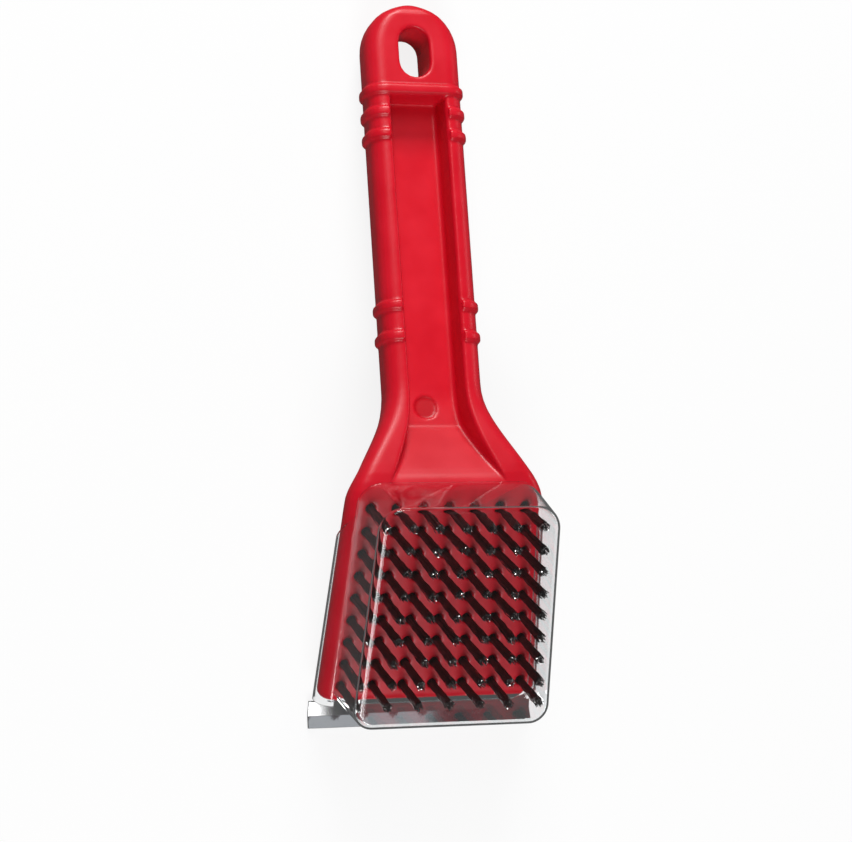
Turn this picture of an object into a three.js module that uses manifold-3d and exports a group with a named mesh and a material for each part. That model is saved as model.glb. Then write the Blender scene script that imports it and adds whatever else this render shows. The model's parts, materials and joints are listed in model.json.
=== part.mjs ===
// Grill cleaning brush: a one-piece moulded handle and head, wire bristle tufts in
// rows, a bent steel scraper riveted to the back of the tip, and a clear bristle guard
// that lifts off along the bristles.
//
// The brush is built in a head frame in millimetres: +X across the head, +Y towards the
// handle, +Z the way the bristles point, with the plate surface at Z = 0 and the bristle
// row nearest the handle at Y = 0. At the end it is laid on its back, bristles up.

import * as THREE from 'three';
import { mergeVertices } from 'three/addons/utils/BufferGeometryUtils.js';
import Module from 'manifold-3d';

const wasm = await Module();
wasm.setup();

// ---------------------------------------------------------------- driving dimensions

const SEAT_GAP = 0.3;              // clearance between pieces that seat on each other

// Bristle field
const ROWS = 9;
const COLUMNS = 7;
const ROW_PITCH = 7.0;
const COLUMN_PITCH_NECK = 8.0;     // columns fan out towards the tip
const COLUMN_PITCH_TIP = 9.45;
const TUFT_ROOT_RADIUS = 1.2;
const TUFT_TIP_RADIUS = 1.4;
const TUFT_LENGTH = 18.6;          // free length above the plate
const TUFT_SET_DEPTH = 5.2;        // length inside the plate
const ANCHOR_WIRE = 1.2;           // square anchor wire through the roots of one row

// Head
const TIP_MARGIN = 5.3;            // last row to the end of the head
const HEAD_HALF_WIDTH_NECK = 30.9;
const HEAD_HALF_WIDTH_TIP = 34.8;
const HEAD_THICKNESS = 9.5;
const HEAD_EDGE_ROUND = 4.6;
const HEAD_BACK_ROUND = 4.6;
const TIP_CORNER_ROUND = 3.0;      // plan radius of the two corners at the tip
const PLATE_MARGIN = 7.0;          // first row to the line where the head bends away

// Neck and grip: the surface line bends down by the neck angle, then up to the grip angle
const NECK_ANGLE = THREE.MathUtils.degToRad(40.5);
const GRIP_ANGLE = THREE.MathUtils.degToRad(29.5);
const NECK_LENGTH = 30.3;
const GRIP_LENGTH = 124.5;
const SHOULDER_BEND = 18;          // radius where the plate turns into the neck
const NECK_BEND = 55;              // radius where the neck turns into the grip
const GRIP_HALF_WIDTH = 15.1;
const GRIP_THICKNESS = 14.2;
const GRIP_EDGE_ROUND = 5.2;
const GRIP_BACK_ROUND = 5.4;
const FLARE_START = 33;            // where the grip starts to widen, along the neck
const FLARE_LENGTH = 40;
const END_EDGE_ROUND = 4.6;        // rounding over the hanging end

// Channel, open on the bristle side
const CHANNEL_HALF_WIDTH = 8.75;
const CHANNEL_DEPTH = 9.0;
const CHANNEL_DRAFT = 0.05;        // wall lean, as width per depth
const CHANNEL_FILLET = 1.0;
const CHANNEL_LIP = 0.7;           // rounding of the rims' inner edges
const CREASE_AT = 22.9;            // where the channel floor turns up, along the neck
const RAMP_BLEND = 6;              // length over which the ramp runs out into the plate
const RAMP_END = -2;
const RAMP_SLOPE = 0.404;
const CHANNEL_FLARE = 11.5;        // extra half width where the channel meets the plate
const EJECTOR_MARK_RADIUS = 3.7;
const EJECTOR_MARK_DEPTH = 0.5;
const EJECTOR_MARK_AT = 28.4;
const EJECTOR_MARK_SIDE = -1.6;

// Raised rings and hanging hole, measured along the grip from its start
const RING_HALF_WIDTH = 1.55;
const RING_HEIGHT = 1.0;
const TOP_RING_AT = 95.8;
const TOP_RING_PITCH = 7.2;
const TOP_RINGS = 3;
const NECK_RING_AT = 17.8;
const NECK_RING_PITCH = 9.5;
const NECK_RINGS = 2;
const POCKET_END_TO_RING = 1.9;
const HOLE_AT = 108.0;
const HOLE_HALF_WIDTH = 4.9;
const HOLE_HALF_LENGTH = 8.0;
const HOLE_LIP = 0.8;

// Scraper
const SCRAPER_SHEET = 1.0;
const SCRAPER_HALF_WIDTH = 35.7;
const SCRAPER_FLANGE_HALF_WIDTH = 28;
const SCRAPER_FLANGE = 14;         // length seated in the recess
const SCRAPER_REACH = 8.1;         // flat stretch beyond the tip
const SCRAPER_LIP = 4.0;           // bent edge
const SCRAPER_BEND = THREE.MathUtils.degToRad(26);
const RIVET_SPACING = 36;
const RIVET_FROM_TIP = 7.5;
const RIVET_RADIUS = 1.6;
const RIVET_HEAD_RADIUS = 3.2;
const RIVET_HEAD_HEIGHT = 1.5;
const RIVET_SET_DEPTH = 2.8;

// Clear bristle guard
const GUARD_WALL = 0.6;
const GUARD_TIP_CLEARANCE = 2.8;   // above the bristle tips
const GUARD_NECK_CLEARANCE = 7.6;  // outside the first row, at the front
const GUARD_DRAFT = 0.9;           // how far each wall leans out over its height
const GUARD_NECK_CORNER = 7.5;
const GUARD_TIP_CORNER = 6;
const GUARD_EDGE_ROUND = 2.0;
const GUARD_SIDE_NECK = 3.9;       // outermost tuft centre of the first row to the wall
const GUARD_SIDE_TIP = 1.95;       // the same at the last row
const GUARD_TIP_OVERHANG = 0.9;    // foot of the tip wall, beyond the end of the head
const GUARD_SKIRT_DEPTH = 7.4;     // how far the skirt reaches down the head's sides
const GUARD_SKIRT_START = 2.5;     // first row to the start of the skirt
const GUARD_SKIRT_SLOPE = 9.0;     // how far the skirt's end slopes back over its depth

// ---------------------------------------------------------------- derived places

const FIELD_LENGTH = (ROWS - 1) * ROW_PITCH;
const HEAD_LENGTH = FIELD_LENGTH + TIP_MARGIN;
const TIP_Y = -HEAD_LENGTH;

// ---------------------------------------------------------------- solids

function toSolid(geometry) {
  const bare = geometry.index ? geometry.toNonIndexed() : geometry.clone();
  for (const name of Object.keys(bare.attributes)) {
    if (name !== 'position') bare.deleteAttribute(name);
  }
  const merged = mergeVertices(bare, 1e-4);
  const mesh = new wasm.Mesh({
    numProp: 3,
    vertProperties: new Float32Array(merged.attributes.position.array),
    triVerts: new Uint32Array(merged.index.array),
  });
  return new wasm.Manifold(mesh);
}

function toGeometry(body) {
  const mesh = body.getMesh();
  const geometry = new THREE.BufferGeometry();
  geometry.setAttribute('position', new THREE.BufferAttribute(mesh.vertProperties, 3));
  geometry.setIndex(new THREE.BufferAttribute(mesh.triVerts, 1));
  geometry.computeVertexNormals();
  return geometry;
}

// A closed body through a row of outlines that all have the same number of points.
function loft(outlines, points2d) {
  const count = outlines[0].length;
  const positions = outlines.flat().flatMap((p) => [p.x, p.y, p.z]);
  const index = [];
  for (let i = 0; i + 1 < outlines.length; i += 1) {
    for (let j = 0; j < count; j += 1) {
      const a = i * count + j;
      const b = i * count + ((j + 1) % count);
      index.push(a, b, b + count, a, b + count, a + count);
    }
  }
  const last = (outlines.length - 1) * count;
  for (const [a, b, c] of THREE.ShapeUtils.triangulateShape(points2d[0], [])) {
    index.push(a, c, b);
  }
  for (const [a, b, c] of THREE.ShapeUtils.triangulateShape(points2d[1], [])) {
    index.push(last + a, last + b, last + c);
  }
  const geometry = new THREE.BufferGeometry();
  geometry.setAttribute('position', new THREE.Float32BufferAttribute(positions, 3));
  geometry.setIndex(index);
  return outward(geometry);
}

function outward(geometry) {
  const p = geometry.attributes.position;
  const t = geometry.index.array;
  const corners = [new THREE.Vector3(), new THREE.Vector3(), new THREE.Vector3()];
  let volume = 0;
  for (let i = 0; i < t.length; i += 3) {
    corners.forEach((corner, k) => corner.fromBufferAttribute(p, t[i + k]));
    volume += corners[0].dot(corners[1].clone().cross(corners[2]));
  }
  if (volume < 0) {
    const flipped = Array.from(t);
    for (let i = 0; i < flipped.length; i += 3) {
      [flipped[i], flipped[i + 1]] = [flipped[i + 1], flipped[i]];
    }
    geometry.setIndex(flipped);
  }
  return geometry;
}

function cornerArc(cx, cz, radius, from, to, steps) {
  return Array.from({ length: steps + 1 }, (_, i) => {
    const angle = from + ((to - from) * i) / steps;
    return new THREE.Vector2(cx + radius * Math.cos(angle), cz + radius * Math.sin(angle));
  });
}

const smooth = (t) => {
  const c = THREE.MathUtils.clamp(t, 0, 1);
  return c * c * (3 - 2 * c);
};

// ---------------------------------------------------------------- surface line

// The surface line runs from the tip, along the plate, down the neck and along the grip.
// Each stretch is a straight or an arc, and all sections stand square to it.
function surfaceLine() {
  const shoulder = SHOULDER_BEND * Math.tan(NECK_ANGLE / 2);
  const turn = NECK_ANGLE - GRIP_ANGLE;
  const nape = NECK_BEND * Math.tan(turn / 2);
  return [
    { length: HEAD_LENGTH + PLATE_MARGIN - shoulder, turn: 0 },
    { length: SHOULDER_BEND * NECK_ANGLE, turn: -NECK_ANGLE },
    { length: NECK_LENGTH - shoulder - nape, turn: 0 },
    { length: NECK_BEND * turn, turn },
    { length: GRIP_LENGTH - nape, turn: 0 },
  ];
}

const LINE = surfaceLine();
const LINE_LENGTH = LINE.reduce((sum, stretch) => sum + stretch.length, 0);
const NECK_U = LINE[0].length + LINE[1].length / 2;     // corner between plate and neck
const GRIP_U = LINE_LENGTH - GRIP_LENGTH;               // start of the grip's straight

function pointAt(u) {
  let y = TIP_Y;
  let z = 0;
  let angle = 0;
  let left = u;
  for (const [i, stretch] of LINE.entries()) {
    const isLast = i === LINE.length - 1;
    const run = isLast ? left : Math.min(left, stretch.length);
    if (stretch.turn === 0) {
      y += run * Math.cos(angle);
      z += run * Math.sin(angle);
    } else {
      const radius = stretch.length / stretch.turn;
      const next = angle + run / radius;
      y += radius * (Math.sin(next) - Math.sin(angle));
      z += radius * (Math.cos(angle) - Math.cos(next));
      angle = next;
    }
    left -= run;
    if (left <= 0 && !isLast) break;
  }
  return { y, z, angle };
}

// Puts a section's (x, height) points at station u, square to the surface line.
function placeSection(points, u) {
  const { y, z, angle } = pointAt(u);
  return points.map((p) => new THREE.Vector3(
    p.x,
    y - p.y * Math.sin(angle),
    z + p.y * Math.cos(angle),
  ));
}

function placeAt(geometry, u) {
  const { y, z, angle } = pointAt(u);
  return geometry.applyMatrix4(new THREE.Matrix4().makeRotationX(angle))
    .translate(0, y, z);
}

// ---------------------------------------------------------------- body sections

// Distance from a rounded end: how far a corner of the given radius has still to rise.
function endDrop(distance, radius) {
  if (distance >= radius) return 0;
  const rest = radius - Math.max(distance, 0);
  return radius - Math.sqrt(radius * radius - rest * rest);
}

function halfWidthAt(u) {
  const headShare = THREE.MathUtils.clamp(1 - u / HEAD_LENGTH, 0, 1);
  const head = THREE.MathUtils.lerp(HEAD_HALF_WIDTH_NECK, HEAD_HALF_WIDTH_TIP, headShare);
  const flare = smooth((FLARE_START - (u - NECK_U)) / FLARE_LENGTH);
  return THREE.MathUtils.lerp(GRIP_HALF_WIDTH, head, flare);
}

// Outer outline of the body at station u, grown outwards by the given offset.
function bodyOutline(u, offset = 0) {
  const grip = smooth((u - NECK_U) / NECK_LENGTH);
  const fromTip = u;
  const fromEnd = LINE_LENGTH - u;
  const edge = THREE.MathUtils.lerp(HEAD_EDGE_ROUND, GRIP_EDGE_ROUND, grip);
  const back = THREE.MathUtils.lerp(HEAD_BACK_ROUND, GRIP_BACK_ROUND, grip);
  const thickness = THREE.MathUtils.lerp(HEAD_THICKNESS, GRIP_THICKNESS, grip);
  const drop = endDrop(fromEnd, END_EDGE_ROUND) + endDrop(fromTip, HEAD_EDGE_ROUND / 2);
  const half = halfWidthAt(u)
    - endDrop(fromTip, TIP_CORNER_ROUND)
    - endDrop(fromEnd, GRIP_HALF_WIDTH) + offset;
  const top = offset - drop;
  const bottom = -thickness - offset + drop;
  const room = Math.min(half, (top - bottom) / 2) * 0.98;
  const re = Math.min(edge + offset, room);
  const rb = Math.min(back + offset, room);
  const right = [
    ...cornerArc(half - rb, bottom + rb, rb, -Math.PI / 2, 0, 5),
    ...cornerArc(half - re, top - re, re, 0, Math.PI / 2, 6),
  ];
  const left = right.map((p) => new THREE.Vector2(-p.x, p.y)).reverse();
  return [...right, ...left];
}

function bodyLoft(stations) {
  const flat = stations.map(([u, offset]) => bodyOutline(u, offset));
  const placed = flat.map((points, i) => placeSection(points, stations[i][0]));
  return toSolid(loft(placed, [flat[0], flat.at(-1)]));
}

function spread(from, to, steps) {
  return Array.from({ length: steps + 1 }, (_, i) => from + ((to - from) * i) / steps);
}

function outerBody() {
  const tip = spread(0, Math.PI / 2, 4).map((a) => TIP_CORNER_ROUND * (1 - Math.cos(a)));
  const flareEnd = NECK_U + FLARE_START + 1;
  const neck = spread(LINE[0].length - 3, flareEnd, 16);
  const end = spread(Math.PI / 2, 0.12, 9)
    .map((a) => LINE_LENGTH - GRIP_HALF_WIDTH * (1 - Math.cos(a)));
  const edges = [GRIP_U + 6, ...end, LINE_LENGTH - 0.02];
  const stations = [...tip, ...neck, ...edges].map((u) => [u, 0]);
  stations[0][0] = 0.001;
  return bodyLoft(stations);
}

function ring(at) {
  const profile = [
    [-1.0, -0.15], [-0.88, 0.72], [-0.6, 1.0],
    [0.6, 1.0], [0.88, 0.72], [1.0, -0.15],
  ];
  return bodyLoft(profile.map(([along, height]) => [
    at + along * RING_HALF_WIDTH,
    height * RING_HEIGHT,
  ]));
}

// ---------------------------------------------------------------- channel

function channelDepthAt(v) {
  const blendEnd = RAMP_END + RAMP_BLEND;
  if (v < RAMP_END) return -0.4;
  if (v < blendEnd) return RAMP_SLOPE * (v - RAMP_END) ** 2 / (2 * RAMP_BLEND);
  const ramp = RAMP_SLOPE * (v - RAMP_END - RAMP_BLEND / 2);
  const crease = RAMP_SLOPE * (CREASE_AT - RAMP_END - RAMP_BLEND / 2);
  const grip = THREE.MathUtils.lerp(crease, CHANNEL_DEPTH, smooth((v - CREASE_AT) / 9));
  return v < CREASE_AT ? ramp : grip;
}

function channelHalfWidthAt(v) {
  const share = THREE.MathUtils.clamp((NECK_LENGTH - v) / (NECK_LENGTH - RAMP_END), 0, 1);
  return CHANNEL_HALF_WIDTH + CHANNEL_FLARE * share ** 1.7;
}

function channelOutline(v) {
  const depth = channelDepthAt(v);
  const rim = channelHalfWidthAt(v);
  const lip = CHANNEL_LIP * THREE.MathUtils.clamp(depth / 3, 0.05, 1);
  const fillet = CHANNEL_FILLET * THREE.MathUtils.clamp(depth / 3, 0.05, 1);
  const floor = rim - CHANNEL_DRAFT * Math.max(depth, 0);
  const above = 4;
  const right = [
    new THREE.Vector2(floor - fillet - 0.01, -depth),
    new THREE.Vector2(floor - fillet * 0.3, -depth + fillet * 0.3),
    new THREE.Vector2(floor, -depth + fillet),
    new THREE.Vector2(rim + 0.01, -lip * 1.6),
    new THREE.Vector2(rim + lip * 0.3 + 0.02, -lip * 0.6),
    new THREE.Vector2(rim + lip + 0.03, 0.05),
    new THREE.Vector2(rim + lip + 0.03, above),
  ];
  const left = right.map((p) => new THREE.Vector2(-p.x, p.y)).reverse();
  return [...right, ...left];
}

function channel() {
  const pocketEnd = GRIP_U - NECK_U + TOP_RING_AT - POCKET_END_TO_RING;
  const ramp = spread(RAMP_END - 0.5, RAMP_END + RAMP_BLEND, 5);
  const slope = spread(RAMP_END + RAMP_BLEND + 2.4, CREASE_AT, 5);
  const floor = spread(CREASE_AT + 1.5, NECK_LENGTH + 5, 5);
  const stations = [...ramp, ...slope, ...floor, pocketEnd - 0.8, pocketEnd];
  const flat = stations.map((v) => channelOutline(v));
  const placed = flat.map((points, i) => placeSection(points, NECK_U + stations[i]));
  return toSolid(loft(placed, [flat[0], flat.at(-1)]));
}

// ---------------------------------------------------------------- cuts in the body

function stadium(halfWidth, halfLength, steps) {
  const straight = Math.max(halfLength - halfWidth, 0);
  return [
    ...cornerArc(0, straight, halfWidth, 0, Math.PI, steps),
    ...cornerArc(0, -straight, halfWidth, Math.PI, 2 * Math.PI, steps),
  ];
}

function hangingHole() {
  const levels = [
    [1.5, HOLE_LIP * 1.4],
    [0, HOLE_LIP * 0.7],
    [-HOLE_LIP * 0.4, HOLE_LIP * 0.2],
    [-HOLE_LIP * 1.2, 0],
    [-GRIP_THICKNESS + HOLE_LIP * 1.2, 0],
    [-GRIP_THICKNESS + HOLE_LIP * 0.4, HOLE_LIP * 0.2],
    [-GRIP_THICKNESS, HOLE_LIP * 0.7],
    [-GRIP_THICKNESS - 1.5, HOLE_LIP * 1.4],
  ];
  const flat = levels.map(([, grow]) => stadium(HOLE_HALF_WIDTH + grow, HOLE_HALF_LENGTH + grow, 8));
  const placed = flat.map((points, i) => points.map(
    (p) => new THREE.Vector3(p.x, p.y, levels[i][0]),
  ));
  return toSolid(placeAt(loft(placed, [flat[0], flat.at(-1)]), GRIP_U + HOLE_AT));
}

function ejectorMark() {
  const depth = channelDepthAt(EJECTOR_MARK_AT);
  const height = 2 * EJECTOR_MARK_DEPTH;
  const disc = new THREE.CylinderGeometry(EJECTOR_MARK_RADIUS, EJECTOR_MARK_RADIUS, height, 20);
  disc.rotateX(Math.PI / 2).translate(EJECTOR_MARK_SIDE, 0, -depth);
  return toSolid(placeAt(disc, NECK_U + EJECTOR_MARK_AT));
}

// ---------------------------------------------------------------- bristles

const rowY = (row) => -row * ROW_PITCH;

function columnX(row, column) {
  const share = row / (ROWS - 1);
  const pitch = THREE.MathUtils.lerp(COLUMN_PITCH_NECK, COLUMN_PITCH_TIP, share);
  return (column - (COLUMNS - 1) / 2) * pitch;
}

// A round bar on Z made from (radius, height) pairs.
function turned(profile, sides) {
  const points = [
    new THREE.Vector2(0, profile[0][1]),
    ...profile.map(([radius, height]) => new THREE.Vector2(radius, height)),
    new THREE.Vector2(0, profile.at(-1)[1]),
  ];
  return outward(stripToBare(new THREE.LatheGeometry(points, sides).rotateX(Math.PI / 2)));
}

function stripToBare(geometry) {
  const bare = geometry.toNonIndexed();
  bare.deleteAttribute('normal');
  bare.deleteAttribute('uv');
  const merged = mergeVertices(bare, 1e-4);
  const kept = [];
  const t = merged.index.array;
  for (let i = 0; i < t.length; i += 3) {
    const [a, b, c] = [t[i], t[i + 1], t[i + 2]];
    if (a !== b && b !== c && c !== a) kept.push(a, b, c);
  }
  merged.setIndex(kept);
  return merged;
}

function anchorBar(row, grow, overrun) {
  const side = ANCHOR_WIRE + 2 * grow;
  const reach = columnX(row, COLUMNS - 1) + overrun;
  const bar = new THREE.BoxGeometry(2 * reach, side, side);
  return toSolid(bar.translate(0, rowY(row), -TUFT_SET_DEPTH + ANCHOR_WIRE / 2 + SEAT_GAP));
}

function bristleRow(row) {
  const profile = [
    [TUFT_ROOT_RADIUS, -TUFT_SET_DEPTH],
    [TUFT_TIP_RADIUS, TUFT_LENGTH - 0.5],
    [TUFT_TIP_RADIUS * 0.8, TUFT_LENGTH],
  ];
  let body = anchorBar(row, 0, TUFT_ROOT_RADIUS / 2);
  for (let column = 0; column < COLUMNS; column += 1) {
    const tuft = turned(profile, 7).translate(columnX(row, column), rowY(row), 0);
    body = body.add(toSolid(tuft));
  }
  return body;
}

function tuftHoles() {
  const radius = TUFT_ROOT_RADIUS + SEAT_GAP + 0.1;
  const profile = [[radius, -TUFT_SET_DEPTH - SEAT_GAP], [radius, 1]];
  const cuts = [];
  for (let row = 0; row < ROWS; row += 1) {
    cuts.push(anchorBar(row, SEAT_GAP, radius));
    for (let column = 0; column < COLUMNS; column += 1) {
      const hole = turned(profile, 8).translate(columnX(row, column), rowY(row), 0);
      cuts.push(toSolid(hole));
    }
  }
  return cuts;
}

// ---------------------------------------------------------------- scraper and rivets

function extruded(shape, depth, curveSegments = 12) {
  return new THREE.ExtrudeGeometry(shape, { depth, bevelEnabled: false, curveSegments });
}

// Extrudes a side profile drawn in (Y, Z) across the head, to both sides.
function acrossHead(profile, halfWidth) {
  const turn = new THREE.Matrix4().makeBasis(
    new THREE.Vector3(0, 1, 0),
    new THREE.Vector3(0, 0, 1),
    new THREE.Vector3(1, 0, 0),
  );
  return extruded(profile, 2 * halfWidth).applyMatrix4(turn).translate(-halfWidth, 0, 0);
}

const rivetPlaces = [-0.5, 0.5].map((side) => ({
  x: side * RIVET_SPACING,
  y: TIP_Y + RIVET_FROM_TIP,
}));

function rivetHole(radius, from, to) {
  return rivetPlaces.map(({ x, y }) => (
    toSolid(turned([[radius, from], [radius, to]], 16).translate(x, y, 0))
  ));
}

// The side profile of the sheet is drawn in (Y, Z) and extruded across the head.
function scraper() {
  const outer = -HEAD_THICKNESS;
  const inner = outer + SCRAPER_SHEET;
  const bendY = TIP_Y - SCRAPER_REACH;
  const lipY = bendY - SCRAPER_LIP * Math.cos(SCRAPER_BEND);
  const lipZ = SCRAPER_LIP * Math.sin(SCRAPER_BEND);
  const half = Math.tan(SCRAPER_BEND / 2) * SCRAPER_SHEET;
  const edge = SCRAPER_SHEET * Math.sin(SCRAPER_BEND);
  const rise = SCRAPER_SHEET * Math.cos(SCRAPER_BEND);
  const profile = new THREE.Shape([
    new THREE.Vector2(TIP_Y + SCRAPER_FLANGE, outer),
    new THREE.Vector2(TIP_Y + SCRAPER_FLANGE, inner),
    new THREE.Vector2(bendY + half, inner),
    new THREE.Vector2(lipY + edge, outer + lipZ + rise),
    new THREE.Vector2(lipY, outer + lipZ),
    new THREE.Vector2(bendY, outer),
  ]);
  let body = toSolid(acrossHead(profile, SCRAPER_HALF_WIDTH));
  const notch = SCRAPER_HALF_WIDTH - SCRAPER_FLANGE_HALF_WIDTH;
  for (const side of [-1, 1]) {
    const corner = new THREE.BoxGeometry(2 * notch, 2 * SCRAPER_FLANGE, 4);
    corner.translate(
      side * (SCRAPER_FLANGE_HALF_WIDTH + notch),
      TIP_Y - SEAT_GAP - TIP_CORNER_ROUND + SCRAPER_FLANGE,
      outer,
    );
    body = body.subtract(toSolid(corner));
  }
  for (const hole of rivetHole(RIVET_RADIUS + SEAT_GAP, outer - 1, inner + 1)) {
    body = body.subtract(hole);
  }
  return body;
}

function scraperRecess() {
  const depth = SCRAPER_SHEET + SEAT_GAP;
  const length = SCRAPER_FLANGE + SEAT_GAP;
  const box = new THREE.BoxGeometry(
    2 * (SCRAPER_FLANGE_HALF_WIDTH + SEAT_GAP),
    2 * length,
    2 * depth,
  );
  return toSolid(box.translate(0, TIP_Y, -HEAD_THICKNESS));
}

function rivet({ x, y }) {
  const seat = -HEAD_THICKNESS - SEAT_GAP;
  const dome = spread(0, Math.PI / 2, 4).map((a) => [
    RIVET_HEAD_RADIUS * Math.sin(a),
    seat - RIVET_HEAD_HEIGHT * Math.cos(a),
  ]);
  const profile = [
    ...dome.slice(1),
    [RIVET_RADIUS, seat],
    [RIVET_RADIUS, -HEAD_THICKNESS + RIVET_SET_DEPTH],
  ];
  const points = [new THREE.Vector2(0, dome[0][1])];
  points.push(...profile.map(([radius, height]) => new THREE.Vector2(radius, height)));
  points.push(new THREE.Vector2(0, -HEAD_THICKNESS + RIVET_SET_DEPTH));
  const turnedBody = new THREE.LatheGeometry(points, 16).rotateX(Math.PI / 2);
  return toSolid(outward(stripToBare(turnedBody)).translate(x, y, 0));
}

// ---------------------------------------------------------------- body

function handleBody() {
  let body = outerBody();
  for (let i = 0; i < TOP_RINGS; i += 1) {
    body = body.add(ring(GRIP_U + TOP_RING_AT - i * TOP_RING_PITCH));
  }
  for (let i = 0; i < NECK_RINGS; i += 1) {
    body = body.add(ring(GRIP_U + NECK_RING_AT + i * NECK_RING_PITCH));
  }
  const cuts = [
    channel(),
    hangingHole(),
    ejectorMark(),
    scraperRecess(),
    ...tuftHoles(),
    ...rivetHole(RIVET_RADIUS + SEAT_GAP, -HEAD_THICKNESS - 1,
      -HEAD_THICKNESS + RIVET_SET_DEPTH + SEAT_GAP),
  ];
  for (const cut of cuts) body = body.subtract(cut);
  return body;
}

// ---------------------------------------------------------------- bristle guard

const GUARD_FRONT = TUFT_LENGTH + GUARD_TIP_CLEARANCE + GUARD_WALL;
const GUARD_BASE = SEAT_GAP;

// Plan outline of the guard at a height, grown by the given amount.
function guardOutline(height, grow) {
  const lean = GUARD_DRAFT * (1 - height / GUARD_FRONT);
  const neckY = GUARD_NECK_CLEARANCE + lean + grow;
  const tipY = TIP_Y - GUARD_TIP_OVERHANG + GUARD_DRAFT - lean - grow;
  const halfNeck = columnX(0, COLUMNS - 1) + GUARD_SIDE_NECK + lean + grow;
  const halfTip = columnX(ROWS - 1, COLUMNS - 1) + GUARD_SIDE_TIP + lean + grow;
  const atTip = GUARD_TIP_CORNER + grow;
  const atNeck = GUARD_NECK_CORNER + grow;
  const right = [
    ...cornerArc(halfTip - atTip, tipY + atTip, atTip, -Math.PI / 2, 0, 6),
    ...cornerArc(halfNeck - atNeck, neckY - atNeck, atNeck, 0, Math.PI / 2, 6),
  ];
  const left = right.map((p) => new THREE.Vector2(-p.x, p.y)).reverse();
  return [...right, ...left];
}

function guardShell(grow, bottom, front) {
  const edge = GUARD_EDGE_ROUND + grow;
  const rounded = spread(0, Math.PI / 2, 4).map((a) => ({
    height: front - edge + edge * Math.sin(a),
    grow: grow - edge + edge * Math.cos(a),
  }));
  const levels = [{ height: bottom, grow }, ...rounded];
  const flat = levels.map((level) => guardOutline(level.height, level.grow));
  const placed = flat.map((points, i) => points.map(
    (p) => new THREE.Vector3(p.x, p.y, levels[i].height),
  ));
  return toSolid(loft(placed, [flat[0], flat.at(-1)]));
}

// Flat flange around the shell's foot, over the edges of the head.
function guardFlange() {
  const startY = -GUARD_SKIRT_START;
  const endY = TIP_Y - GUARD_TIP_OVERHANG;
  const neck = halfWidthAt(HEAD_LENGTH + startY) + SEAT_GAP + GUARD_WALL;
  const tip = halfWidthAt(0) + SEAT_GAP + GUARD_WALL;
  const plan = new THREE.Shape([
    new THREE.Vector2(-tip, endY),
    new THREE.Vector2(tip, endY),
    new THREE.Vector2(neck, startY),
    new THREE.Vector2(-neck, startY),
  ]);
  return toSolid(extruded(plan, GUARD_WALL).translate(0, 0, GUARD_BASE));
}

// One side skirt, hanging from the flange down the side of the head.
function guardSkirt(side) {
  const startY = -GUARD_SKIRT_START;
  const endY = TIP_Y - GUARD_TIP_OVERHANG;
  const neck = halfWidthAt(HEAD_LENGTH + startY) + SEAT_GAP;
  const tip = halfWidthAt(0) + SEAT_GAP;
  const plan = new THREE.Shape([
    new THREE.Vector2(side * tip, endY),
    new THREE.Vector2(side * (tip + GUARD_WALL), endY),
    new THREE.Vector2(side * (neck + GUARD_WALL), startY),
    new THREE.Vector2(side * neck, startY),
  ]);
  const drop = GUARD_SKIRT_DEPTH + GUARD_BASE + GUARD_WALL / 2;
  return toSolid(extruded(plan, drop).translate(0, 0, -GUARD_SKIRT_DEPTH));
}

// Wedge that slopes the skirts' neck ends back down the sides of the head.
function skirtSlope() {
  const startY = -GUARD_SKIRT_START;
  const slope = new THREE.Shape([
    new THREE.Vector2(startY + 1, GUARD_BASE),
    new THREE.Vector2(startY, GUARD_BASE),
    new THREE.Vector2(startY - GUARD_SKIRT_SLOPE, -GUARD_SKIRT_DEPTH - 1),
    new THREE.Vector2(startY + 1, -GUARD_SKIRT_DEPTH - 1),
  ]);
  return toSolid(acrossHead(slope, 2 * SCRAPER_HALF_WIDTH));
}

function bristleGuard() {
  return guardShell(0, GUARD_BASE, GUARD_FRONT)
    .add(guardFlange())
    .add(guardSkirt(-1))
    .add(guardSkirt(1))
    .subtract(guardShell(-GUARD_WALL, GUARD_BASE - 1, GUARD_FRONT - GUARD_WALL))
    .subtract(skirtSlope());
}

// ---------------------------------------------------------------- assembly

const PLASTIC = { color: 0xc8142a, roughness: 0.36, metalness: 0 };
const BRISTLE = { color: 0x55504c, roughness: 0.35, metalness: 1 };
const STEEL = { color: 0xc9ccce, roughness: 0.18, metalness: 1 };
const CLEAR = { color: 0xf2f5f6, roughness: 0.08, metalness: 0, transparent: true, opacity: 0.3 };

function piece(name, body, look) {
  const mesh = new THREE.Mesh(toGeometry(body), new THREE.MeshStandardMaterial(look));
  mesh.name = name;
  return mesh;
}

// The tilt at which the lowest points of the head's half and of the handle's half are level.
function restingTilt(group) {
  const points = [];
  group.traverse((mesh) => {
    if (!mesh.isMesh) return;
    const p = mesh.geometry.attributes.position;
    for (let i = 0; i < p.count; i += 1) points.push([p.getY(i), p.getZ(i)]);
  });
  const lowest = (angle, towardsHandle) => Math.min(...[0], ...points
    .filter(([y]) => (y > 0) === towardsHandle)
    .map(([y, z]) => y * Math.sin(angle) + z * Math.cos(angle)));
  let low = 0;
  let high = Math.PI / 3;
  for (let i = 0; i < 40; i += 1) {
    const middle = (low + high) / 2;
    if (lowest(middle, true) < lowest(middle, false)) low = middle;
    else high = middle;
  }
  return (low + high) / 2;
}

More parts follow.
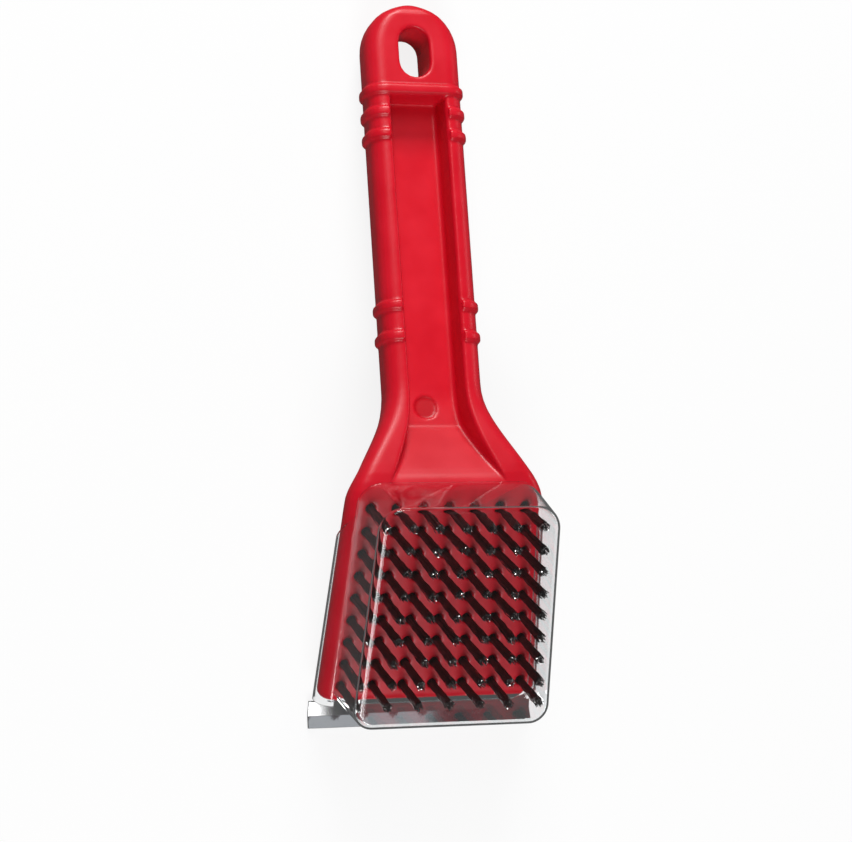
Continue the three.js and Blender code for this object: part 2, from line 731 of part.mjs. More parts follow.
const brush = new THREE.Group();
brush.add(piece('handle_body', handleBody(), PLASTIC));
for (let row = 0; row < ROWS; row += 1) {
  brush.add(piece(`bristle_row_${row + 1}`, bristleRow(row), BRISTLE));
}
brush.add(piece('scraper', scraper(), STEEL));
rivetPlaces.forEach((place, i) => {
  brush.add(piece(`scraper_rivet_${i + 1}`, rivet(place), STEEL));
});
brush.add(piece('bristle_guard', bristleGuard(), CLEAR));

const part = new THREE.Group();
part.add(brush);
brush.rotation.x = restingTilt(brush);
part.updateMatrixWorld(true);
const box = new THREE.Box3().setFromObject(brush, true);
brush.position.set(0, -(box.min.y + box.max.y) / 2, -box.min.z);

export default part;
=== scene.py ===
"""Grill cleaning brush: the dressed model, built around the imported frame.

Sizes are millimetres in the head frame, unless the heading over them says otherwise: +X
across the head, +Y towards the handle, +Z the way the bristles point, with the plate at
Z = 0 and the bristle row nearest the handle at Y = 0. to_rest() puts points in the row
frame, in metres.
"""
import json
import math
import random

import bmesh
import bpy
from mathutils import Matrix, Quaternion, Vector


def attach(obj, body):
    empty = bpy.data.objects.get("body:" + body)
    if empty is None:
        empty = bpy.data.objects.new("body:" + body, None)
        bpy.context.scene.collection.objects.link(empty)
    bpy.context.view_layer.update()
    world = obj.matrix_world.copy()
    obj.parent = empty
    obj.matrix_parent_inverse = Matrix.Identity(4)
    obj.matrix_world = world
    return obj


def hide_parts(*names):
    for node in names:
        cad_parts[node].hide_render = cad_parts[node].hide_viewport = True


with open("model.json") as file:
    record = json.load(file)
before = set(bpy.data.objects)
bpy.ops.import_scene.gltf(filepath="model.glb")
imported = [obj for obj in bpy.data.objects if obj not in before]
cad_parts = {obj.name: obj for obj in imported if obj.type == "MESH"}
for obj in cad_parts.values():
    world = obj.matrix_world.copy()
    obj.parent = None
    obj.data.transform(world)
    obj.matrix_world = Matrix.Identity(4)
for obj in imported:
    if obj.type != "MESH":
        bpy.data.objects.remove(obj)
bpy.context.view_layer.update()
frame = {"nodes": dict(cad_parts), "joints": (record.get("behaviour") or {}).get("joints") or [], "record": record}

# ---------------------------------------------------------------- sizes, in millimetres

ROWS = 9
COLUMNS = 7
ROW_PITCH = 7.0
COLUMN_PITCH_NECK = 8.0
COLUMN_PITCH_TIP = 9.45
FIELD = (ROWS - 1) * ROW_PITCH

TUFT_LENGTH = 18.6
TUFT_ROOT_RADIUS = 1.1
TUFT_TIP_RADIUS = 1.35
TUFT_LEAN = 0.35  # how far a tuft's free end can stand aside
TUFT_FLARE = 1.3  # power of the height by which a tuft widens
WIRES_PER_TUFT = 34
WIRE_RADIUS = 0.14
WIRE_SIDES = 6
WIRE_LEVELS = (-1.5, 0.0, 3.0, 6.5, 10.0, 13.5, 16.5)
WIRE_TURN = 2.399963  # golden angle in radians, which spreads the wires evenly
WIRE_TURN_SPREAD = 0.25
WIRE_SPLAY = (0.85, 1.2)
WIRE_WAVE = (0.05, 0.14)
WIRE_WAVE_RATE = 0.9  # radians per millimetre of height
WIRE_WAVE_SKEW = 0.6
WIRE_SHORTER = (0.12, 0.8)
WIRE_CUT_SLOPE = 0.8
# share of the cut ends that take the bright tip colour, as painted glints
PAINTED_GLINT_SHARE = 0.45
ROW_SEED = 100

HEAD_LENGTH = 61.3
HEAD_HALF_WIDTH_NECK = 30.9
HEAD_HALF_WIDTH_TIP = 34.8
HEAD_THICKNESS = 9.5
TIP_Y = -HEAD_LENGTH

RIVET_SPACING = 36
RIVET_FROM_TIP = 7.5
RIVET_RADIUS = 1.6
RIVET_SHANK = 2.6
RIVET_HEAD_RADIUS = 3.2
RIVET_HEAD_HEIGHT = 1.5
RIVET_RIM = 0.15
RIVET_SIDES = 40
RIVET_DOME_STEPS = 8

GUARD_WALL = 0.6
GUARD_FRONT = 22.0
GUARD_FOOT = 0.3
GUARD_NECK_CLEARANCE = 7.6
GUARD_DRAFT = 0.9
GUARD_NECK_CORNER = 7.5
GUARD_TIP_CORNER = 6.0
GUARD_EDGE_ROUND = 2.0
GUARD_SIDE_NECK = 3.9
GUARD_SIDE_TIP = 1.95
GUARD_TIP_OVERHANG = 0.9
GUARD_WALL_LEVELS = (GUARD_FOOT, 2.5, 6, 10, 14, 17.5)
GUARD_FRONT_INSETS = (1.5, 4, 8, 13, 18, 22)
GUARD_FRONT_CENTRE_Y = -27
GUARD_FRONT_REACH = 29.0  # inset at which the front would close on its centre
GUARD_EDGE_STEPS = 6
GUARD_CORNER_STEPS = 12
GUARD_SIDE_STEPS = 14
GUARD_END_STEPS = 8

SKIRT_START = 2.5
SKIRT_SLOPE = 9.0
SKIRT_TUCK = 0.4  # overlap with the foot of the guard's wall
SKIRT_LEAST_ARC = 0.15  # radians
SKIRT_LAST_ANGLE = math.radians(-24)
SKIRT_EASE = 1.3  # power that crowds the stations at the sloped end
SKIRT_STATIONS = 48
SKIRT_STEPS = 16
SEAT_GAP = 0.3

# ---------------------------------------------------------------- sizes, in metres

MM = 0.001
PIN_MARK = Vector((-0.0016, -0.0153, 0.0201))  # ejector mark in the channel, at rest
PIN_MARK_SHADE_EDGE = (0.0042, 0.0032)  # where its painted shade starts and is full
SKIN_VOXEL = 0.0004
SKIN_RELIEF = 0.00005
SCRAPER_EDGE = 0.0003
SAME_POINT = 1e-6
FLOOR_HALF = 4.0
FLOOR_DROP = 0.0002

# ---------------------------------------------------------------- brightness of the set

FLOOR_PAINT = (0.3, 0.85)  # floor colour for bounced light, and as seen
FLOOR_GLOW = (0.08, 1)  # glow as mirrored in the clear and polished surfaces, and as seen
FLOOR_GLOW_SHARE = 0.86
WORLD_LEVEL = (0.1, 0.88)  # as it lights and is mirrored, and as seen

LAMP_TARGET = (0, 0, 0.03)
LAMPS = (  # name, place in metres, size in metres, power in watts
    ("key", (0.0, 1.08, 0.54), (0.5, 0.3), 13.0),
    ("front", (-0.104, -0.75, 0.74), (0.512, 0.36), 6.6),
    ("upper", (-0.18, 0.72, 0.9), (0.5, 0.42), 2.9),
    ("low_right", (0.97, 0.26, 0.3), (0.3, 0.1), 0.6),
    ("lip", (0.30, -0.01, 1.12), (0.3, 0.12), 0.05),
    ("scraper_glint", (0.198, -0.91, 0.758), (0.14, 0.21), 0.2),
)

CAMERA_LENS = 111.11  # millimetres on a sensor 36 wide
CAMERA_PLACE = (-0.244691, -0.085477, 0.77708)
CAMERA_TURN = (0.9870778, 0.0432276, -0.1540848, -0.0081669)

# ---------------------------------------------------------------- head frame to row frame

mounts = {m["name"]: m for m in frame["record"]["mounts"]}
lift = Vector(frame["joints"][0]["axis"]).normalized()
REST_TILT = math.atan2(-lift.y, lift.z)
turn = Matrix.Rotation(REST_TILT, 4, "X")
HEAD_BACK_MOUNT = Vector((0, -25, -HEAD_THICKNESS)) * MM
shift = Vector(mounts["head_back"]["pos_m"]) - turn @ HEAD_BACK_MOUNT
TO_REST = Matrix.Translation(shift) @ turn @ Matrix.Scale(MM, 4)


def to_rest(points):
    return [TO_REST @ Vector(p) for p in points]


# ---------------------------------------------------------------- mesh tools


def place(name, data):
    """An object in the scene, made from a mesh, a lamp or a camera."""
    made = bpy.data.objects.new(name, data)
    bpy.context.scene.collection.objects.link(made)
    return made


def bare_piece(name, verts, faces):
    mesh = bpy.data.meshes.new(name)
    mesh.from_pydata([tuple(v) for v in verts], [], faces)
    mesh.validate()
    mesh.shade_smooth()
    return place(name, mesh)


def new_piece(name, verts, faces, body):
    piece = bare_piece(name, verts, faces)
    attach(piece, body)
    return piece


def copied_solid(name, node):
    """A piece that starts as a copy of one of the frame's solids."""
    solid = frame["nodes"][node]
    piece = place(name, solid.data.copy())
    piece.matrix_world = solid.matrix_world.copy()
    return piece


def apply_modifiers(piece):
    """Turns the piece's modifiers into its mesh."""
    depsgraph = bpy.context.evaluated_depsgraph_get()
    made = bpy.data.meshes.new_from_object(piece.evaluated_get(depsgraph))
    piece.modifiers.clear()
    piece.data = made


def flatten_shading(piece):
    """Keeps the large faces flat next to their rounded edges."""
    flat = piece.modifiers.new("flat_faces", "WEIGHTED_NORMAL")
    flat.weight = 100
    piece.data.shade_smooth()
    apply_modifiers(piece)


def arc(cx, cy, radius, start, end, steps):
    return [
        (
            cx + radius * math.cos(start + (end - start) * i / steps),
            cy + radius * math.sin(start + (end - start) * i / steps),
        )
        for i in range(steps + 1)
    ]


def lerp(a, b, t):
    return a + (b - a) * t


def clamp(value):
    return min(max(value, 0), 1)


# ---------------------------------------------------------------- materials


def add_socket(tree, name, in_out):
    return tree.interface.new_socket(
        name=name, in_out=in_out, socket_type="NodeSocketFloat"
    )


def moulded_skin_group():
    """Fine moulded skin: a soft mottle for colour and roughness, and a height for bump."""
    tree = bpy.data.node_groups.new("moulded_skin", "ShaderNodeTree")
    add_socket(tree, "Grain scale", "INPUT")
    add_socket(tree, "Mottle scale", "INPUT")
    add_socket(tree, "Mottle", "OUTPUT")
    add_socket(tree, "Height", "OUTPUT")
    nodes, links = tree.nodes, tree.links
    given = nodes.new("NodeGroupInput")
    result = nodes.new("NodeGroupOutput")
    where = nodes.new("ShaderNodeTexCoord")
    grain = nodes.new("ShaderNodeTexNoise")
    grain.inputs["Detail"].default_value = 3
    mottle = nodes.new("ShaderNodeTexNoise")
    mottle.inputs["Detail"].default_value = 2
    for node, socket in ((grain, "Grain scale"), (mottle, "Mottle scale")):
        links.new(where.outputs["Object"], node.inputs["Vector"])
        links.new(given.outputs[socket], node.inputs["Scale"])
    links.new(mottle.outputs["Fac"], result.inputs["Mottle"])
    links.new(grain.outputs["Fac"], result.inputs["Height"])
    return tree


SKIN = moulded_skin_group()


def new_material(name):
    material = bpy.data.materials.new(name)
    material.use_nodes = True
    return material, material.node_tree, material.node_tree.nodes["Principled BSDF"]


def add_math(tree, operation, *values):
    """A math node on sockets or plain numbers; gives its output."""
    node = tree.nodes.new("ShaderNodeMath")
    node.operation = operation
    for socket, value in zip(node.inputs, values):
        if isinstance(value, bpy.types.NodeSocket):
            tree.links.new(value, socket)
        else:
            socket.default_value = value
    return node.outputs[0]


def add_map(tree, value, to, span=(0, 1)):
    """A map of a socket from one span to another; gives its output."""
    node = tree.nodes.new("ShaderNodeMapRange")
    node.inputs["From Min"].default_value, node.inputs["From Max"].default_value = span
    node.inputs["To Min"].default_value, node.inputs["To Max"].default_value = to
    tree.links.new(value, node.inputs["Value"])
    return node.outputs["Result"]


def add_choice(tree, share, first, second):
    """Two shaders mixed by a share, as the surface."""
    either = tree.nodes.new("ShaderNodeMixShader")
    tree.links.new(share, either.inputs["Fac"])
    tree.links.new(first, either.inputs[1])
    tree.links.new(second, either.inputs[2])
    surface = tree.nodes["Material Output"].inputs["Surface"]
    tree.links.new(either.outputs["Shader"], surface)


def add_skin(tree, grain_scale, mottle_scale):
    skin = tree.nodes.new("ShaderNodeGroup")
    skin.node_tree = SKIN
    skin.inputs["Grain scale"].default_value = grain_scale
    skin.inputs["Mottle scale"].default_value = mottle_scale
    return skin


def add_ramp(tree, stops):
    ramp = tree.nodes.new("ShaderNodeValToRGB")
    for element, (position, colour) in zip(ramp.color_ramp.elements, stops):
        element.position = position
        element.color = (*colour, 1)
    return ramp


MOTTLE_SPAN = (0.3, 0.7)  # the part of the noise in which the finish drifts


def skin_material(name, colours, roughness, grain_scale, mottle_scale, bump):
    """A finish whose colour and roughness drift a little, with a fine bump."""
    material, tree, shader = new_material(name)
    links = tree.links
    skin = add_skin(tree, grain_scale, mottle_scale)
    mottle = skin.outputs["Mottle"]
    tint = add_ramp(tree, zip(MOTTLE_SPAN, colours))
    links.new(mottle, tint.inputs["Fac"])
    links.new(tint.outputs["Color"], shader.inputs["Base Color"])
    links.new(add_map(tree, mottle, roughness, MOTTLE_SPAN), shader.inputs["Roughness"])
    relief = tree.nodes.new("ShaderNodeBump")
    relief.inputs["Strength"].default_value = bump
    relief.inputs["Distance"].default_value = SKIN_RELIEF
    links.new(skin.outputs["Height"], relief.inputs["Height"])
    links.new(relief.outputs["Normal"], shader.inputs["Normal"])
    return material, tree, shader


def metal(name, colours, roughness, grain_scale, mottle_scale, bump):
    material, _, shader = skin_material(
        name, colours, roughness, grain_scale, mottle_scale, bump
    )
    shader.inputs["Metallic"].default_value = 1
    return material


def red_moulded_plastic(pin_mark):
    material, tree, shader = skin_material(
        "red_moulded_plastic", ((0.60, 0.004, 0.016), (0.66, 0.007, 0.022)),
        (0.31, 0.38), 2200, 90, 0.4,
    )
    colour = shader.inputs["Base Color"]
    # A darker red is painted over the ejector mark: painted shade for its shallow recess, which catches less sheen
    # than the channel floor around it.
    where = tree.nodes.new("ShaderNodeTexCoord")
    away = tree.nodes.new("ShaderNodeVectorMath")
    away.operation = "DISTANCE"
    away.inputs[1].default_value = pin_mark
    tree.links.new(where.outputs["Object"], away.inputs[0])
    mark = add_map(tree, away.outputs["Value"], (0, 1), PIN_MARK_SHADE_EDGE)
    painted_shade = tree.nodes.new("ShaderNodeMixRGB")
    painted_shade.inputs["Color2"].default_value = (0.5, 0.0033, 0.012, 1)
    tree.links.new(mark, painted_shade.inputs["Fac"])
    tree.links.new(colour.links[0].from_socket, painted_shade.inputs["Color1"])
    tree.links.new(painted_shade.outputs["Color"], colour)
    shader.inputs["Specular IOR Level"].default_value = 0.35
    shader.inputs["Subsurface Weight"].default_value = 0.12
    shader.inputs["Subsurface Radius"].default_value = (0.004, 0.0006, 0.0004)
    shader.inputs["Subsurface Scale"].default_value = 0.6
    return material


def painted_dark_bristle_wire():
    # The wires' very dark metal colour is painted shade: it stands in for the dark reflections on the steel wires.
    return metal(
        "painted_dark_bristle_wire", ((0.05, 0.04, 0.04), (0.13, 0.11, 0.11)),
        (0.28, 0.45), 5000, 900, 0.2,
    )


def cut_tip_with_painted_glint():
    # Bright cut ends of the wires: partly the real bright metal of a fresh cut, partly a painted glint on a random
    # share of the tips.
    return metal(
        "cut_tip_with_painted_glint", ((0.6, 0.58, 0.56), (0.95, 0.93, 0.9)),
        (0.18, 0.3), 5000, 1400, 0.2,
    )


def polished_scraper_steel():
    return metal(
        "polished_scraper_steel", ((0.74, 0.75, 0.76), (0.82, 0.82, 0.83)),
        (0.015, 0.04), 4000, 60, 0.03,
    )


def plain_rivet_steel():
    return metal(
        "plain_rivet_steel", ((0.55, 0.55, 0.56), (0.7, 0.7, 0.7)),
        (0.24, 0.36), 4000, 400, 0.15,
    )


def clear_guard_sheet():
    """Clear plastic that lets light and mirrored rays straight through."""
    material, tree, shader = skin_material(
        "clear_guard_sheet", ((0.97, 0.985, 0.99), (0.99, 0.995, 1.0)),
        (0.0, 0.02), 900, 40, 0.04,
    )
    shader.inputs["Transmission Weight"].default_value = 1
    shader.inputs["IOR"].default_value = 1.35
    see_through = tree.nodes.new("ShaderNodeBsdfTransparent")
    see_through.inputs["Color"].default_value = (0.93, 0.94, 0.95, 1)
    rays = tree.nodes.new("ShaderNodeLightPath").outputs
    lit = add_math(tree, "MAXIMUM", rays["Is Shadow Ray"], rays["Is Diffuse Ray"])
    mirrored = add_math(
        tree, "GREATER_THAN", rays["Is Glossy Ray"], rays["Is Transmission Ray"]
    )
    straight = add_math(tree, "MAXIMUM", lit, mirrored)
    add_choice(tree, straight, shader.outputs["BSDF"], see_through.outputs["BSDF"])
    return material


def dress(piece, *materials):
    piece.data.materials.clear()
    for material in materials:
        piece.data.materials.append(material)


# ---------------------------------------------------------------- moulded handle and head


def moulded_body():
    """The CAD solid, skinned with fine voxels so that its pieces blend."""
    piece = copied_solid("moulded_body", "handle_body")
    skin = piece.modifiers.new("skin", "REMESH")
    skin.mode = "VOXEL"
    skin.voxel_size = SKIN_VOXEL
    soften = piece.modifiers.new("soften", "SMOOTH")
    soften.factor = 0.5
    soften.iterations = 6
    apply_modifiers(piece)
    piece.data.shade_smooth()
    dress(piece, red_moulded_plastic(piece.matrix_world.inverted() @ PIN_MARK))
    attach(piece, "brush")
    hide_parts("handle_body")


# ---------------------------------------------------------------- bristles


def column_x(row, column):
    pitch = lerp(COLUMN_PITCH_NECK, COLUMN_PITCH_TIP, row / (ROWS - 1))
    return (column - (COLUMNS - 1) / 2) * pitch


def wire(path, radius, slant, verts, faces, tips):
    """Adds one round wire along a path that runs close to +Z, cut off at a slant."""
    sides = WIRE_SIDES
    start = len(verts)
    for i, (x, y, z) in enumerate(path):
        slope = slant if i == len(path) - 1 else (0, 0)
        for k in range(sides):
            angle = 2 * math.pi * k / sides
            dx, dy = radius * math.cos(angle), radius * math.sin(angle)
            verts.append((x + dx, y + dy, z + slope[0] * dx + slope[1] * dy))
    for i in range(len(path) - 1):
        for k in range(sides):
            a = start + i * sides + k
            b = start + i * sides + (k + 1) % sides
            faces.append((a, b, b + sides, a + sides))
    last = start + (len(path) - 1) * sides
    tips.append(len(faces))
    faces.append(tuple(range(last, last + sides)))
    faces.append(tuple(range(start + sides - 1, start - 1, -1)))


def bristle_row(row, wire_painted_dark, tip_painted_glint):
    rng = random.Random(ROW_SEED + row)
    verts, faces, tips = [], [], []
    for column in range(COLUMNS):
        x0, y0 = column_x(row, column), -row * ROW_PITCH
        lean_x = rng.uniform(-TUFT_LEAN, TUFT_LEAN)
        lean_y = rng.uniform(-TUFT_LEAN, TUFT_LEAN)
        for k in range(WIRES_PER_TUFT):
            share = math.sqrt((k + 0.5) / WIRES_PER_TUFT)
            angle = k * WIRE_TURN + rng.uniform(-WIRE_TURN_SPREAD, WIRE_TURN_SPREAD)
            end_radius = TUFT_TIP_RADIUS * rng.uniform(*WIRE_SPLAY)
            wave = rng.uniform(*WIRE_WAVE)
            phase = rng.uniform(0, 2 * math.pi)
            top = TUFT_LENGTH - rng.uniform(*WIRE_SHORTER)
            path = []
            for z in (*WIRE_LEVELS, top):
                up = max(z, 0) / TUFT_LENGTH
                radius = share * lerp(TUFT_ROOT_RADIUS, end_radius, up**TUFT_FLARE)
                sway = wave * math.sin(phase + z * WIRE_WAVE_RATE) * min(up * 4, 1)
                path.append((
                    x0 + radius * math.cos(angle) + lean_x * up**2 + sway,
                    y0 + radius * math.sin(angle) + lean_y * up**2 + sway * WIRE_WAVE_SKEW,
                    z,
                ))
            slant = (
                rng.uniform(-WIRE_CUT_SLOPE, WIRE_CUT_SLOPE),
                rng.uniform(-WIRE_CUT_SLOPE, WIRE_CUT_SLOPE),
            )
            wire(path, WIRE_RADIUS, slant, verts, faces, tips)
    piece = new_piece(f"wire_tufts_{row + 1}", to_rest(verts), faces, "brush")
    dress(piece, wire_painted_dark, tip_painted_glint)
    # A random share of the cut ends takes the bright tip colour, which paints glints on them.
    for index in tips:
        piece.data.polygons[index].use_smooth = False
        if rng.random() < PAINTED_GLINT_SHARE:
            piece.data.polygons[index].material_index = 1
    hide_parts(f"bristle_row_{row + 1}")


# ---------------------------------------------------------------- scraper and rivets


def scraper():
    """The CAD sheet with clean large faces and rolled edges."""
    piece = copied_solid("bent_scraper", "scraper")
    mesh = bmesh.new()
    mesh.from_mesh(piece.data)
    bmesh.ops.remove_doubles(mesh, verts=mesh.verts, dist=SAME_POINT)
    bmesh.ops.dissolve_limit(
        mesh, angle_limit=math.radians(1), verts=mesh.verts, edges=mesh.edges
    )
    mesh.to_mesh(piece.data)
    mesh.free()
    rounded = piece.modifiers.new("rolled_edges", "BEVEL")
    rounded.width = SCRAPER_EDGE
    rounded.segments = 3
    rounded.limit_method = "ANGLE"
    rounded.angle_limit = math.radians(20)
    flatten_shading(piece)
    dress(piece, polished_scraper_steel())
    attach(piece, "brush")
    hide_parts("scraper")


def rivet(side, finish):
    x = side * RIVET_SPACING / 2
    y = TIP_Y + RIVET_FROM_TIP
    seat = -HEAD_THICKNESS - SEAT_GAP
    dome = [math.pi / 2 * i / RIVET_DOME_STEPS for i in range(1, RIVET_DOME_STEPS + 1)]
    profile = [
        (RIVET_HEAD_RADIUS * math.sin(a), seat - RIVET_HEAD_HEIGHT * math.cos(a))
        for a in dome
    ]
    profile += [
        (RIVET_HEAD_RADIUS - RIVET_RIM, seat),
        (RIVET_RADIUS, seat),
        (RIVET_RADIUS, seat + RIVET_SHANK),
    ]
    sides = RIVET_SIDES
    verts = [(x, y, seat - RIVET_HEAD_HEIGHT)]
    faces = []
    for radius, z in profile:
        for k in range(sides):
            angle = 2 * math.pi * k / sides
            verts.append((x + radius * math.cos(angle), y + radius * math.sin(angle), z))
    for k in range(sides):
        faces.append((0, 1 + (k + 1) % sides, 1 + k))
    for i in range(len(profile) - 1):
        for k in range(sides):
            a, b = 1 + i * sides + k, 1 + i * sides + (k + 1) % sides
            faces.append((a, b, b + sides, a + sides))
    last = 1 + (len(profile) - 1) * sides
    faces.append(tuple(range(last, last + sides)))
    number = 1 if side < 0 else 2
    piece = new_piece(f"domed_rivet_{number}", to_rest(verts), faces, "brush")
    dress(piece, finish)
    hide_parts(f"scraper_rivet_{number}")


# ---------------------------------------------------------------- clear guard


def head_half_width(y):
    return lerp(HEAD_HALF_WIDTH_NECK, HEAD_HALF_WIDTH_TIP, clamp(-y / HEAD_LENGTH))


def guard_outline(height, grow):
    """Outline of the guard at a height, grown outwards; it starts at the tip's middle."""
    lean = GUARD_DRAFT * (1 - height / GUARD_FRONT)
    neck_y = GUARD_NECK_CLEARANCE + lean + grow
    tip_y = TIP_Y - GUARD_TIP_OVERHANG + GUARD_DRAFT - lean - grow
    half_neck = column_x(0, COLUMNS - 1) + GUARD_SIDE_NECK + lean + grow
    half_tip = column_x(ROWS - 1, COLUMNS - 1) + GUARD_SIDE_TIP + lean + grow
    r = GUARD_TIP_CORNER + grow
    corner_tip = arc(half_tip - r, tip_y + r, r, -math.pi / 2, 0, GUARD_CORNER_STEPS)
    r = GUARD_NECK_CORNER + grow
    corner_neck = arc(half_neck - r, neck_y - r, r, 0, math.pi / 2, GUARD_CORNER_STEPS)
    side = [
        tuple(
            lerp(low, high, i / GUARD_SIDE_STEPS)
            for low, high in zip(corner_tip[-1], corner_neck[0])
        )
        for i in range(1, GUARD_SIDE_STEPS)
    ]
    neck = [
        (corner_neck[-1][0] * (1 - i / GUARD_END_STEPS), corner_neck[-1][1])
        for i in range(1, GUARD_END_STEPS)
    ]
    tip = [
        (corner_tip[0][0] * i / GUARD_END_STEPS, corner_tip[0][1])
        for i in range(1, GUARD_END_STEPS)
    ]
    right = [(0.0, tip_y), *tip, *corner_tip, *side, *corner_neck, *neck, (0.0, neck_y)]
    left = [(-x, y) for x, y in reversed(right[1:-1])]
    return right + left


def guard_shell():
    """The tray-shaped shell over the bristles: vertices and faces of its outside."""
    levels = [(z, 0.0) for z in GUARD_WALL_LEVELS]
    r = GUARD_EDGE_ROUND
    for i in range(GUARD_EDGE_STEPS + 1):
        a = math.pi / 2 * i / GUARD_EDGE_STEPS
        levels.append((GUARD_FRONT - r + r * math.sin(a), -r + r * math.cos(a)))
    levels += [(GUARD_FRONT, -r - inset) for inset in GUARD_FRONT_INSETS]
    rings = [
        [(x, y, z) for x, y in guard_outline(z, max(grow, -r))] for z, grow in levels
    ]
    for ring, (z, grow) in zip(rings, levels):
        if grow < -r:
            share = 1 - (-grow - r) / GUARD_FRONT_REACH
            ring[:] = [
                (x * share, lerp(GUARD_FRONT_CENTRE_Y, y, share), z) for x, y, z in ring
            ]
    count = len(rings[0])
    verts = [point for ring in rings for point in ring]
    faces = []
    for i in range(len(rings) - 1):
        for k in range(count):
            a, b = i * count + k, i * count + (k + 1) % count
            faces.append((a, b, b + count, a + count))
    last = (len(rings) - 1) * count
    faces.append(tuple(range(last, last + count)))
    return verts, faces


def guard_skirt(side):
    """The skirt that wraps round one side of the head: vertices and faces of its outside."""
    start_y = -SKIRT_START
    end_y = TIP_Y - GUARD_TIP_OVERHANG
    neck_foot = column_x(0, COLUMNS - 1) + GUARD_SIDE_NECK
    tip_foot = column_x(ROWS - 1, COLUMNS - 1) + GUARD_SIDE_TIP
    head_round = HEAD_THICKNESS / 2
    radius = head_round + SEAT_GAP + GUARD_WALL
    verts, faces = [], []
    for i in range(SKIRT_STATIONS + 1):
        y = lerp(start_y, end_y, (i / SKIRT_STATIONS) ** SKIRT_EASE)
        centre = head_half_width(y) - head_round
        foot = lerp(neck_foot, tip_foot, clamp(-y / FIELD)) + GUARD_DRAFT
        first = math.acos(clamp((foot - SKIRT_TUCK - centre) / radius))
        slope = min((start_y - y) / SKIRT_SLOPE, 1)
        last = lerp(first - SKIRT_LEAST_ARC, SKIRT_LAST_ANGLE, slope)
        for k in range(SKIRT_STEPS + 1):
            angle = lerp(first, last, k / SKIRT_STEPS)
            verts.append((
                side * (centre + radius * math.cos(angle)),
                y,
                radius * math.sin(angle) - head_round,
            ))
    count = SKIRT_STEPS + 1
    for i in range(SKIRT_STATIONS):
        for k in range(SKIRT_STEPS):
            a = i * count + k
            quad = (a, a + 1, a + 1 + count, a + count)
            faces.append(quad if side < 0 else quad[::-1])
    return verts, faces


def thicken(piece):
    """Gives a guard surface the thickness of its sheet."""
    sheet = piece.modifiers.new("sheet", "SOLIDIFY")
    sheet.thickness = GUARD_WALL * MM
    sheet.offset = -1
    sheet.use_even_offset = True
    apply_modifiers(piece)


def clear_guard():
    """Shell and two skirts, joined into one closed sheet."""
    verts, faces = guard_shell()
    piece = new_piece("clear_guard", to_rest(verts), faces, "guard")
    thicken(piece)
    for side in (-1, 1):
        verts, faces = guard_skirt(side)
        skirt = bare_piece("skirt", to_rest(verts), faces)
        thicken(skirt)
        join = piece.modifiers.new("join", "BOOLEAN")
        join.operation = "UNION"
        join.solver = "MANIFOLD"
        join.object = skirt
        apply_modifiers(piece)
        bpy.data.objects.remove(skirt)
    flatten_shading(piece)
    dress(piece, clear_guard_sheet())
    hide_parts("bristle_guard")


# ---------------------------------------------------------------- floor, lights, camera


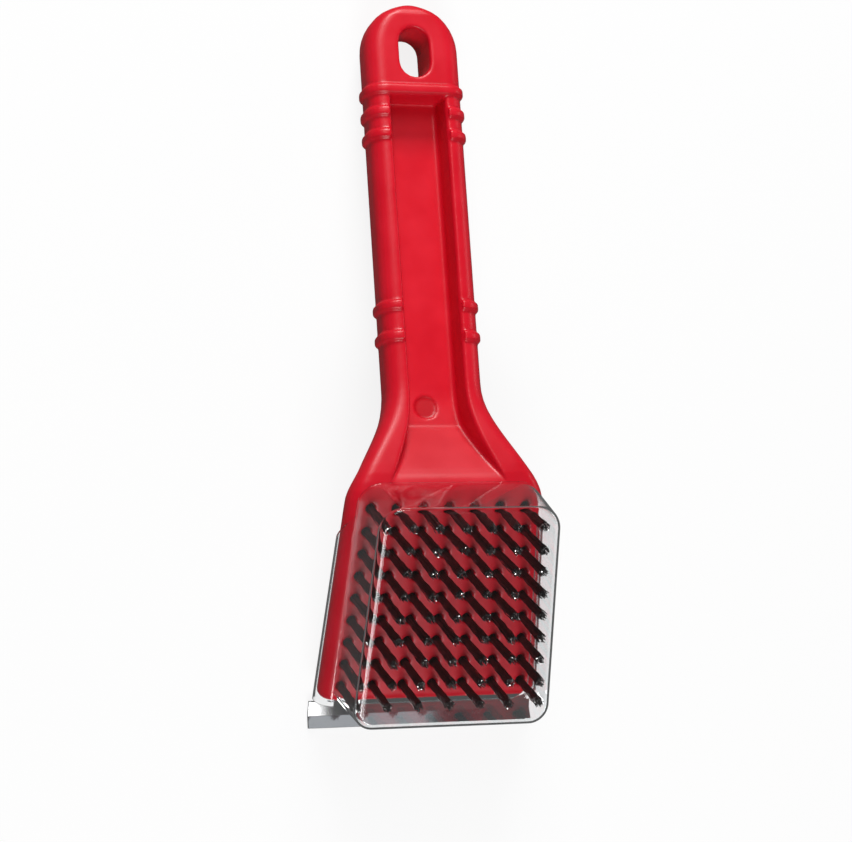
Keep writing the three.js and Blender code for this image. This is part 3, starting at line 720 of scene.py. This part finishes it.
def pale_floor():
    """White as seen directly or through the guard, and dimmer where it is mirrored."""
    half = FLOOR_HALF
    mesh = bpy.data.meshes.new("floor")
    corners = [(-half, -half, 0), (half, -half, 0), (half, half, 0), (-half, half, 0)]
    mesh.from_pydata(corners, [], [(0, 1, 2, 3)])
    floor = place("floor", mesh)
    floor.location.z = -FLOOR_DROP
    material, tree, shader = new_material("pale_floor")
    shader.inputs["Roughness"].default_value = 0.9
    glow = tree.nodes.new("ShaderNodeEmission")
    rays = tree.nodes.new("ShaderNodeLightPath").outputs
    unmirrored = add_math(tree, "LESS_THAN", rays["Glossy Depth"], 0.5)
    through = add_math(tree, "MULTIPLY", rays["Is Transmission Ray"], unmirrored)
    seen = add_math(tree, "MAXIMUM", rays["Is Camera Ray"], through)
    mirrored = add_math(
        tree, "MAXIMUM", rays["Is Glossy Ray"], rays["Is Transmission Ray"]
    )
    shown = add_math(tree, "MAXIMUM", seen, mirrored)
    share = add_math(tree, "MULTIPLY", shown, FLOOR_GLOW_SHARE)
    tree.links.new(add_map(tree, seen, FLOOR_PAINT), shader.inputs["Base Color"])
    tree.links.new(add_map(tree, seen, FLOOR_GLOW), glow.inputs["Strength"])
    add_choice(tree, share, shader.outputs["BSDF"], glow.outputs["Emission"])
    mesh.materials.append(material)


def soft_lamp(name, location, size, power):
    """A rectangular lamp, aimed at the middle of the brush."""
    lamp = bpy.data.lights.new(name, "AREA")
    lamp.shape = "RECTANGLE"
    lamp.size, lamp.size_y = size
    lamp.energy = power
    piece = place(name, lamp)
    piece.location = location
    aim = Vector(LAMP_TARGET) - Vector(location)
    piece.rotation_mode = "QUATERNION"
    piece.rotation_quaternion = aim.to_track_quat("-Z", "Y")


def studio():
    world = bpy.context.scene.world or bpy.data.worlds.new("studio")
    bpy.context.scene.world = world
    world.use_nodes = True
    tree = world.node_tree
    background = tree.nodes["Background"]
    background.inputs["Color"].default_value = (1, 1, 1, 1)
    rays = tree.nodes.new("ShaderNodeLightPath").outputs
    seen = add_math(
        tree, "MAXIMUM", rays["Is Camera Ray"], rays["Is Transmission Ray"]
    )
    tree.links.new(add_map(tree, seen, WORLD_LEVEL), background.inputs["Strength"])
    for lamp in LAMPS:
        soft_lamp(*lamp)


def camera():
    data = bpy.data.cameras.new("camera")
    data.sensor_width = 36
    data.lens = CAMERA_LENS
    data.clip_start = 0.05
    data.clip_end = 20
    piece = place("camera", data)
    piece.location = CAMERA_PLACE
    piece.rotation_mode = "QUATERNION"
    piece.rotation_quaternion = Quaternion(CAMERA_TURN)
    bpy.context.scene.camera = piece


bpy.context.scene.view_settings.view_transform = "Standard"
camera()
studio()
pale_floor()
moulded_body()
wire_painted_dark = painted_dark_bristle_wire()
tip_painted_glint = cut_tip_with_painted_glint()
for row_number in range(ROWS):
    bristle_row(row_number, wire_painted_dark, tip_painted_glint)
scraper()
rivet_finish = plain_rivet_steel()
rivet(-1, rivet_finish)
rivet(1, rivet_finish)
clear_guard()
